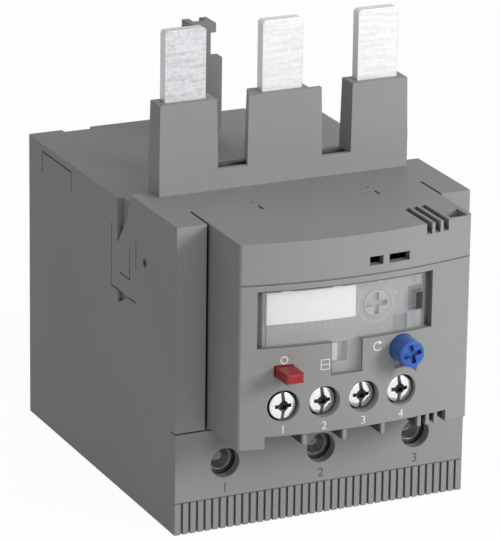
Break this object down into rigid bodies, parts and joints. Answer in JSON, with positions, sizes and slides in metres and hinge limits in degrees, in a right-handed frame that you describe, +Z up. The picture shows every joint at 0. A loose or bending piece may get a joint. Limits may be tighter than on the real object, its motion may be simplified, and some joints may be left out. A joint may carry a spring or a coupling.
{
  "type": "thermal overload relay",
  "caption": "Three-pole thermal overload relay with plug-in blades, latch hook, current dial, stop and reset buttons and box clamps.",
  "frame": {"origin": "middle of the housing's flat underside", "axes": "+X right as seen by someone facing the controls, +Y back from the controls, +Z up along the blades"},
  "size_m": [0.07, 0.1075, 0.1067],
  "materials": {
    "dark_grey_plastic": "moulded, fine matte grain",
    "grey_plastic": "moulded, fine matte grain",
    "red_plastic": "moulded",
    "blue_plastic": "moulded",
    "black_plastic": "moulded",
    "cream_plastic": "moulded",
    "clear_plastic": "clear moulded sheet",
    "label_white": "printed film",
    "tinned_copper": "tin plated, brushed",
    "plated_steel": "zinc plated",
    "bright_screw": "bright plated",
    "spring_steel": "drawn wire",
    "bimetal": "rolled strip",
    "heater_alloy": "rolled strip",
    "glass_sleeve": "woven glass sleeve",
    "contact_metal": "rolled strip"
  },
  "bodies": {
    "housing": {"base_housing": "dark_grey_plastic", "front_housing": "dark_grey_plastic", "terminal_cover": "dark_grey_plastic", "blade_shroud": "dark_grey_plastic", "latch_hook": "grey_plastic", "line_blade_1": "tinned_copper", "line_blade_2": "tinned_copper", "line_blade_3": "tinned_copper", "load_busbar_1": "tinned_copper", "load_busbar_2": "tinned_copper", "load_busbar_3": "tinned_copper", "crank_pin": "plated_steel", "aux_terminal_1": "contact_metal", "aux_terminal_2": "contact_metal", "aux_terminal_3": "contact_metal", "aux_terminal_4": "contact_metal", "mechanism_plate": "black_plastic", "button_guide": "cream_plastic", "stop_spring": "spring_steel", "reset_spring": "spring_steel", "marking_label": "label_white"},
    "bimetal_1": {"bimetal_strip_1": "bimetal", "heater_winding_1": "heater_alloy", "insulating_sleeve_1": "glass_sleeve"},
    "bimetal_2": {"bimetal_strip_2": "bimetal", "heater_winding_2": "heater_alloy", "insulating_sleeve_2": "glass_sleeve"},
    "bimetal_3": {"bimetal_strip_3": "bimetal", "heater_winding_3": "heater_alloy", "insulating_sleeve_3": "glass_sleeve"},
    "trip_bar": {"main_slide": "cream_plastic"},
    "differential": {"differential_slide": "cream_plastic", "differential_lever": "cream_plastic"},
    "crank": {"trip_crank": "cream_plastic", "compensation_strip": "bimetal"},
    "carrier": {"contact_carrier": "cream_plastic", "no_contact_bridge": "contact_metal"},
    "break_contact": {"nc_contact_bridge": "contact_metal"},
    "test_slider": {"test_slider": "black_plastic"},
    "stop_button": {"stop_button": "red_plastic"},
    "reset_plunger": {"reset_plunger": "black_plastic"},
    "reset_knob": {"reset_knob": "blue_plastic"},
    "current_dial": {"current_dial": "black_plastic"},
    "setting_slide": {"setting_slide": "cream_plastic"},
    "clear_cover": {"clear_cover": "clear_plastic"},
    "terminal_screw_1": {"terminal_screw_1": "plated_steel"},
    "clamp_cage_1": {"clamp_cage_1": "plated_steel"},
    "terminal_screw_2": {"terminal_screw_2": "plated_steel"},
    "clamp_cage_2": {"clamp_cage_2": "plated_steel"},
    "terminal_screw_3": {"terminal_screw_3": "plated_steel"},
    "clamp_cage_3": {"clamp_cage_3": "plated_steel"},
    "clamp_washer_1": {"clamp_washer_1": "plated_steel"},
    "aux_screw_1": {"aux_screw_1": "bright_screw"},
    "clamp_washer_2": {"clamp_washer_2": "plated_steel"},
    "aux_screw_2": {"aux_screw_2": "bright_screw"},
    "clamp_washer_3": {"clamp_washer_3": "plated_steel"},
    "aux_screw_3": {"aux_screw_3": "bright_screw"},
    "clamp_washer_4": {"clamp_washer_4": "plated_steel"},
    "aux_screw_4": {"aux_screw_4": "bright_screw"}
  },
  "joints": [
    {"name": "bimetal_2_bend", "type": "hinge", "parent": "housing", "child": "bimetal_2", "pos_m": [0, 0, 0.0233], "axis": [0, 1, 0], "range_deg": [0, 2.4], "stiffness_Nm_per_rad": 0.5},
    {"name": "bimetal_1_bend", "type": "hinge", "parent": "housing", "child": "bimetal_1", "pos_m": [-0.0231, 0, 0.0233], "axis": [0, 1, 0], "range_deg": [0, 2.4], "stiffness_Nm_per_rad": 0.5},
    {"name": "bimetal_3_bend", "type": "hinge", "parent": "housing", "child": "bimetal_3", "pos_m": [0.0231, 0, 0.0233], "axis": [0, 1, 0], "range_deg": [0, 2.4], "stiffness_Nm_per_rad": 0.5},
    {"name": "trip_bar_slide", "type": "slide", "parent": "housing", "child": "trip_bar", "axis": [1, 0, 0], "range_m": [0, 0.0015]},
    {"name": "differential_slide", "type": "slide", "parent": "housing", "child": "differential", "axis": [1, 0, 0], "range_m": [0, 0.0015]},
    {"name": "crank_turn", "type": "hinge", "parent": "housing", "child": "crank", "pos_m": [0.0077, -0.031, 0.05], "axis": [0, 0, -1], "range_deg": [0, 8.2]},
    {"name": "contact_carrier_slide", "type": "slide", "parent": "housing", "child": "carrier", "axis": [0, 1, 0], "range_m": [0, 0.0016]},
    {"name": "test_slider_slide", "type": "slide", "parent": "housing", "child": "test_slider", "axis": [1, 0, 0], "range_m": [0, 0.002]},
    {"name": "stop_button_push", "type": "slide", "parent": "housing", "child": "stop_button", "axis": [0, 1, 0], "range_m": [0, 0.0025], "stiffness_N_per_m": 400, "deforming": ["stop_spring"]},
    {"name": "break_contact_lift", "type": "slide", "parent": "carrier", "child": "break_contact", "axis": [0, 1, 0], "range_m": [0, 0.0015]},
    {"name": "reset_button_push", "type": "slide", "parent": "housing", "child": "reset_plunger", "axis": [0, 1, 0], "range_m": [0, 0.0022], "stiffness_N_per_m": 400, "deforming": ["reset_spring"]},
    {"name": "reset_mode_turn", "type": "hinge", "parent": "reset_plunger", "child": "reset_knob", "pos_m": [0.00976, -0.06, 0.04344], "axis": [0, 1, 0], "range_deg": [0, 90]},
    {"name": "setting_slide_move", "type": "slide", "parent": "housing", "child": "setting_slide", "axis": [-1, 0, 0], "range_m": [-0.0006, 0.0006]},
    {"name": "current_dial_turn", "type": "hinge", "parent": "housing", "child": "current_dial", "pos_m": [0.00435, -0.057, 0.0535], "axis": [0, 1, 0], "range_deg": [-135, 135]},
    {"name": "clear_cover_hinge", "type": "hinge", "parent": "housing", "child": "clear_cover", "pos_m": [-0.0219, -0.0576, 0.0532], "axis": [0, 0, -1], "range_deg": [0, 100]},
    {"name": "clamp_cage_1_slide", "type": "slide", "parent": "housing", "child": "clamp_cage_1", "axis": [0, -1, 0], "range_m": [0, 0.005]},
    {"name": "terminal_screw_1_turn", "type": "hinge", "parent": "housing", "child": "terminal_screw_1", "pos_m": [-0.0231, -0.034, 0.01525], "axis": [0, 1, 0], "range_deg": [0, 1440]},
    {"name": "clamp_cage_2_slide", "type": "slide", "parent": "housing", "child": "clamp_cage_2", "axis": [0, -1, 0], "range_m": [0, 0.005]},
    {"name": "terminal_screw_2_turn", "type": "hinge", "parent": "housing", "child": "terminal_screw_2", "pos_m": [0, -0.034, 0.01525], "axis": [0, 1, 0], "range_deg": [0, 1440]},
    {"name": "clamp_cage_3_slide", "type": "slide", "parent": "housing", "child": "clamp_cage_3", "axis": [0, -1, 0], "range_m": [0, 0.005]},
    {"name": "terminal_screw_3_turn", "type": "hinge", "parent": "housing", "child": "terminal_screw_3", "pos_m": [0.0231, -0.034, 0.01525], "axis": [0, 1, 0], "range_deg": [0, 1440]},
    {"name": "clamp_washer_1_slide", "type": "slide", "parent": "housing", "child": "clamp_washer_1", "axis": [0, 1, 0], "range_m": [0, 0.0024]},
    {"name": "aux_screw_1_turn", "type": "hinge", "parent": "clamp_washer_1", "child": "aux_screw_1", "pos_m": [-0.01766, -0.054, 0.0336], "axis": [0, 1, 0], "range_deg": [0, 1440]},
    {"name": "clamp_washer_2_slide", "type": "slide", "parent": "housing", "child": "clamp_washer_2", "axis": [0, 1, 0], "range_m": [0, 0.0024]},
    {"name": "aux_screw_2_turn", "type": "hinge", "parent": "clamp_washer_2", "child": "aux_screw_2", "pos_m": [-0.00846, -0.054, 0.0336], "axis": [0, 1, 0], "range_deg": [0, 1440]},
    {"name": "clamp_washer_3_slide", "type": "slide", "parent": "housing", "child": "clamp_washer_3", "axis": [0, 1, 0], "range_m": [0, 0.0024]},
    {"name": "aux_screw_3_turn", "type": "hinge", "parent": "clamp_washer_3", "child": "aux_screw_3", "pos_m": [0.00074, -0.054, 0.0336], "axis": [0, 1, 0], "range_deg": [0, 1440]},
    {"name": "clamp_washer_4_slide", "type": "slide", "parent": "housing", "child": "clamp_washer_4", "axis": [0, 1, 0], "range_m": [0, 0.0024]},
    {"name": "aux_screw_4_turn", "type": "hinge", "parent": "clamp_washer_4", "child": "aux_screw_4", "pos_m": [0.00994, -0.054, 0.0336], "axis": [0, 1, 0], "range_deg": [0, 1440]}
  ],
  "couplings": [
    {"joint": "bimetal_1_bend", "follows": "bimetal_2_bend", "ratio": 1},
    {"joint": "bimetal_3_bend", "follows": "bimetal_2_bend", "ratio": 1},
    {"joint": "trip_bar_slide", "follows": "bimetal_2_bend", "m_per_rad": 0.0357},
    {"joint": "differential_slide", "follows": "bimetal_2_bend", "m_per_rad": 0.0357},
    {"joint": "crank_turn", "follows": "bimetal_2_bend", "ratio": 3.4},
    {"joint": "contact_carrier_slide", "follows": "bimetal_2_bend", "m_per_rad": 0.0381},
    {"joint": "test_slider_slide", "follows": "bimetal_2_bend", "m_per_rad": 0.0477},
    {"joint": "break_contact_lift", "follows": "stop_button_push", "ratio": 0.6},
    {"joint": "current_dial_turn", "follows": "setting_slide_move", "rad_per_m": 3926.9},
    {"joint": "terminal_screw_1_turn", "follows": "clamp_cage_1_slide", "rad_per_m": 5026.5},
    {"joint": "terminal_screw_2_turn", "follows": "clamp_cage_2_slide", "rad_per_m": 5026.5},
    {"joint": "terminal_screw_3_turn", "follows": "clamp_cage_3_slide", "rad_per_m": 5026.5},
    {"joint": "aux_screw_1_turn", "follows": "clamp_washer_1_slide", "rad_per_m": 10472},
    {"joint": "aux_screw_2_turn", "follows": "clamp_washer_2_slide", "rad_per_m": 10472},
    {"joint": "aux_screw_3_turn", "follows": "clamp_washer_3_slide", "rad_per_m": 10472},
    {"joint": "aux_screw_4_turn", "follows": "clamp_washer_4_slide", "rad_per_m": 10472}
  ]
}
